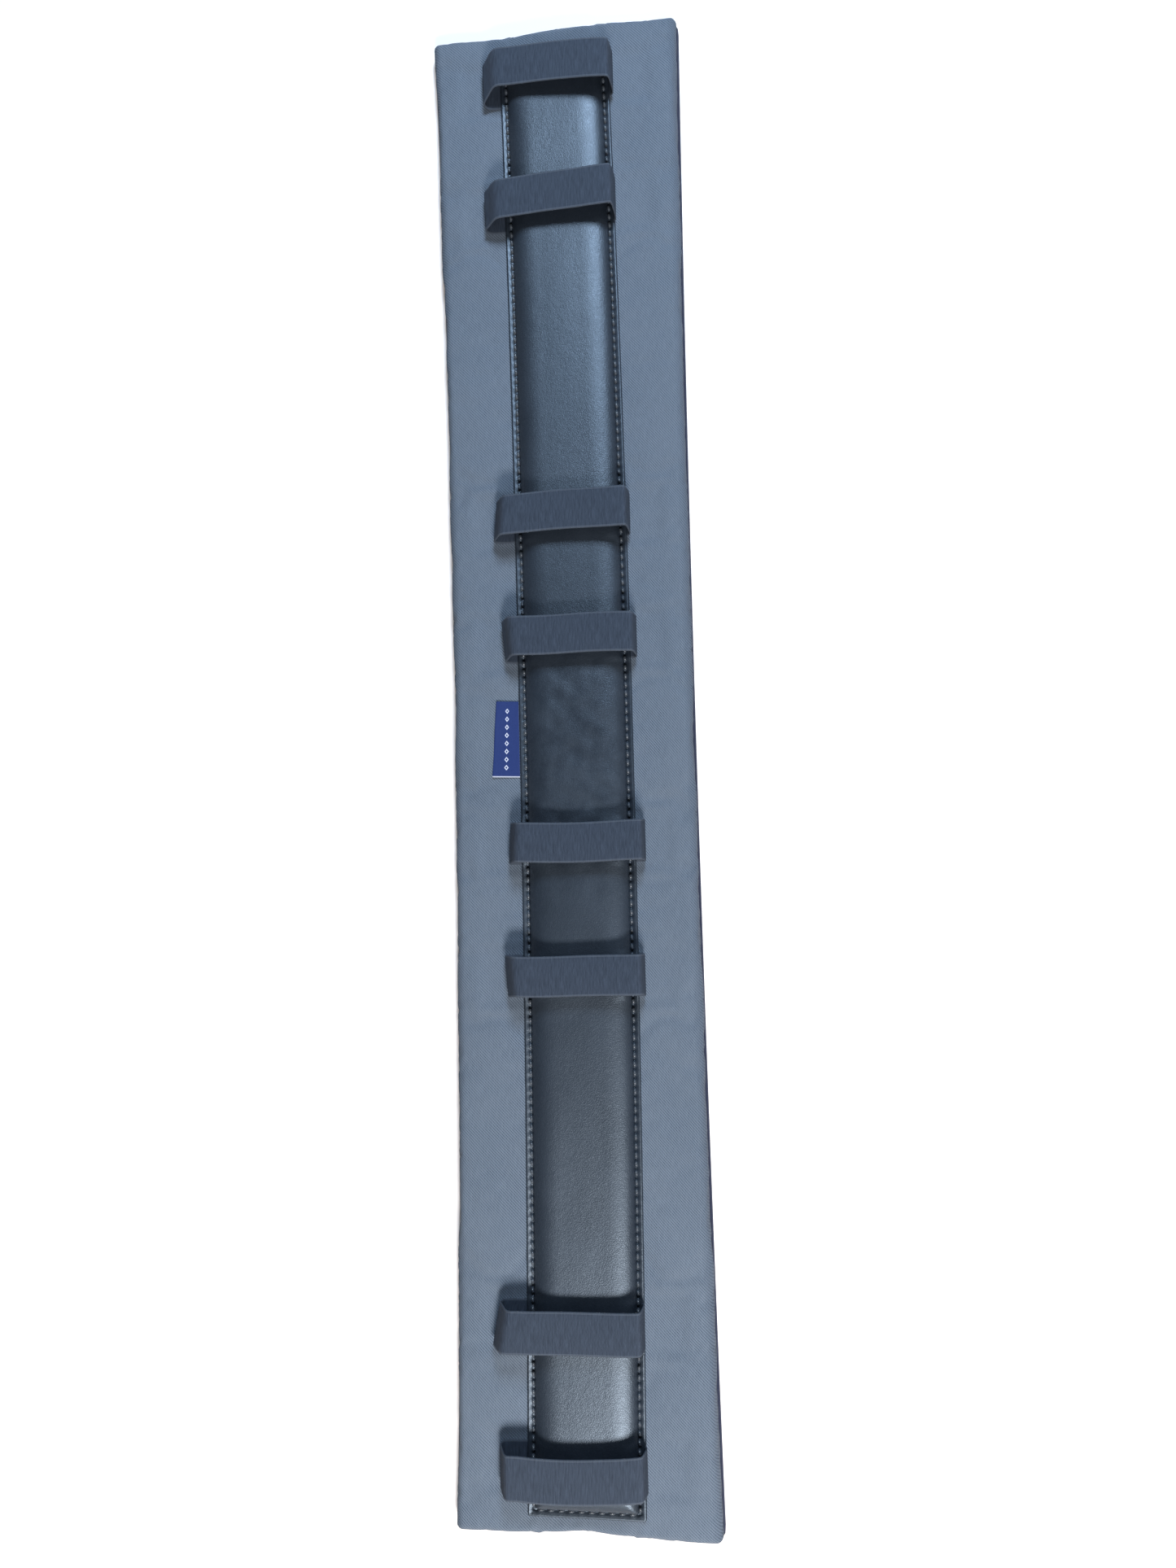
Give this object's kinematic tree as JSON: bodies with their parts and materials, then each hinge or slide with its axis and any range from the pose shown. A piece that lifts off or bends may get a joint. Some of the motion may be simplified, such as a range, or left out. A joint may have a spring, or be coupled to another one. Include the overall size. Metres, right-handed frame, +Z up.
{
  "type": "saddle girth",
  "caption": "Long padded saddle girth with a twill cover, a raised leather channel down its middle and elastic keepers that hold the girth strap.",
  "frame": {"origin": "middle of the flat underside, on the surface it lies on", "axes": "+Y along the pad, +X across it, +Z up, away from the horse's side"},
  "size_m": [0.1597, 0.93, 0.029],
  "materials": {
    "pad_twill": "matt slate grey polycotton twill",
    "lining_knit": "matt navy close knit",
    "pad_foam": "closed-cell foam, hidden",
    "channel_leather": "satin black synthetic leather with a fine grain",
    "channel_felt": "pressed felt, hidden",
    "seam_thread": "bonded nylon thread, slight sheen",
    "keeper_elastic": "matt black ribbed elastic tape",
    "label_weave": "blue damask-woven label, plain"
  },
  "bodies": {
    "bay_1": {"underside_lining_1": "lining_knit", "foam_core_1": "pad_foam", "top_cover_1": "pad_twill", "leather_channel_1": "channel_leather", "channel_filler_1": "channel_felt", "channel_thread_1": "seam_thread", "keeper_base_1": "keeper_elastic"},
    "bay_2": {"underside_lining_2": "lining_knit", "foam_core_2": "pad_foam", "top_cover_2": "pad_twill", "leather_channel_2": "channel_leather", "channel_filler_2": "channel_felt", "channel_thread_2": "seam_thread", "keeper_base_2": "keeper_elastic"},
    "bay_3": {"underside_lining_3": "lining_knit", "foam_core_3": "pad_foam", "top_cover_3": "pad_twill", "leather_channel_3": "channel_leather", "channel_filler_3": "channel_felt", "channel_thread_3": "seam_thread", "keeper_base_3": "keeper_elastic"},
    "bay_4": {"underside_lining_4": "lining_knit", "foam_core_4": "pad_foam", "top_cover_4": "pad_twill", "leather_channel_4": "channel_leather", "channel_filler_4": "channel_felt", "channel_thread_4": "seam_thread", "keeper_base_4": "keeper_elastic", "keeper_base_5": "keeper_elastic"},
    "bay_5": {"underside_lining_5": "lining_knit", "foam_core_5": "pad_foam", "top_cover_5": "pad_twill", "leather_channel_5": "channel_leather", "channel_filler_5": "channel_felt", "channel_thread_5": "seam_thread", "keeper_base_6": "keeper_elastic"},
    "bay_6": {"underside_lining_6": "lining_knit", "foam_core_6": "pad_foam", "top_cover_6": "pad_twill", "leather_channel_6": "channel_leather", "channel_filler_6": "channel_felt", "channel_thread_6": "seam_thread", "keeper_base_7": "keeper_elastic"},
    "bay_7": {"underside_lining_7": "lining_knit", "foam_core_7": "pad_foam", "top_cover_7": "pad_twill", "leather_channel_7": "channel_leather", "channel_filler_7": "channel_felt", "channel_thread_7": "seam_thread", "keeper_base_8": "keeper_elastic"},
    "keeper_1": {"keeper_loop_1": "keeper_elastic"},
    "keeper_2": {"keeper_loop_2": "keeper_elastic"},
    "keeper_3": {"keeper_loop_3": "keeper_elastic"},
    "keeper_4": {"keeper_loop_4": "keeper_elastic"},
    "keeper_5": {"keeper_loop_5": "keeper_elastic"},
    "keeper_6": {"keeper_loop_6": "keeper_elastic"},
    "keeper_7": {"keeper_loop_7": "keeper_elastic"},
    "keeper_8": {"keeper_loop_8": "keeper_elastic"},
    "label": {"woven_label": "label_weave"}
  },
  "joints": [
    {"name": "bend_1", "type": "hinge", "parent": "bay_2", "child": "bay_1", "pos_m": [0, 0.3845, 0.012], "axis": [-1, 0, 0], "range_deg": [-10, 25], "stiffness_Nm_per_rad": 0.12},
    {"name": "bend_2", "type": "hinge", "parent": "bay_3", "child": "bay_2", "pos_m": [0, 0.2425, 0.012], "axis": [-1, 0, 0], "range_deg": [-10, 25], "stiffness_Nm_per_rad": 0.12},
    {"name": "bend_3", "type": "hinge", "parent": "bay_4", "child": "bay_3", "pos_m": [0, 0.104, 0.012], "axis": [-1, 0, 0], "range_deg": [-10, 25], "stiffness_Nm_per_rad": 0.12},
    {"name": "bend_4", "type": "hinge", "parent": "bay_4", "child": "bay_5", "pos_m": [0, -0.098, 0.012], "axis": [1, 0, 0], "range_deg": [-10, 25], "stiffness_Nm_per_rad": 0.12},
    {"name": "bend_5", "type": "hinge", "parent": "bay_5", "child": "bay_6", "pos_m": [0, -0.2395, 0.012], "axis": [1, 0, 0], "range_deg": [-10, 25], "stiffness_Nm_per_rad": 0.12},
    {"name": "bend_6", "type": "hinge", "parent": "bay_6", "child": "bay_7", "pos_m": [0, -0.3815, 0.012], "axis": [1, 0, 0], "range_deg": [-10, 25], "stiffness_Nm_per_rad": 0.12},
    {"name": "keeper_1_lean", "type": "hinge", "parent": "bay_1", "child": "keeper_1", "pos_m": [0.0008, 0.426, 0.0134], "axis": [1, 0, 0], "range_deg": [-25, 25], "stiffness_Nm_per_rad": 0.01},
    {"name": "keeper_2_lean", "type": "hinge", "parent": "bay_2", "child": "keeper_2", "pos_m": [0.00228, 0.343, 0.0134], "axis": [1, 0, 0], "range_deg": [-25, 25], "stiffness_Nm_per_rad": 0.01},
    {"name": "keeper_3_lean", "type": "hinge", "parent": "bay_3", "child": "keeper_3", "pos_m": [0.00453, 0.142, 0.0134], "axis": [1, 0, 0], "range_deg": [-25, 25], "stiffness_Nm_per_rad": 0.01},
    {"name": "keeper_4_lean", "type": "hinge", "parent": "bay_4", "child": "keeper_4", "pos_m": [0.0049, 0.066, 0.0134], "axis": [1, 0, 0], "range_deg": [-25, 25], "stiffness_Nm_per_rad": 0.01},
    {"name": "keeper_5_lean", "type": "hinge", "parent": "bay_4", "child": "keeper_5", "pos_m": [0.00492, -0.058, 0.0134], "axis": [1, 0, 0], "range_deg": [-25, 25], "stiffness_Nm_per_rad": 0.01},
    {"name": "keeper_6_lean", "type": "hinge", "parent": "bay_5", "child": "keeper_6", "pos_m": [0.00456, -0.138, 0.0134], "axis": [1, 0, 0], "range_deg": [-25, 25], "stiffness_Nm_per_rad": 0.01},
    {"name": "keeper_7_lean", "type": "hinge", "parent": "bay_6", "child": "keeper_7", "pos_m": [0.00231, -0.341, 0.0134], "axis": [1, 0, 0], "range_deg": [-25, 25], "stiffness_Nm_per_rad": 0.01},
    {"name": "keeper_8_lean", "type": "hinge", "parent": "bay_7", "child": "keeper_8", "pos_m": [0.00088, -0.422, 0.0134], "axis": [1, 0, 0], "range_deg": [-25, 25], "stiffness_Nm_per_rad": 0.01},
    {"name": "label_flip", "type": "hinge", "parent": "bay_4", "child": "label", "pos_m": [-0.0308, 0.006, 0.01235], "axis": [0, 1, 0], "range_deg": [0, 85]}
  ]
}
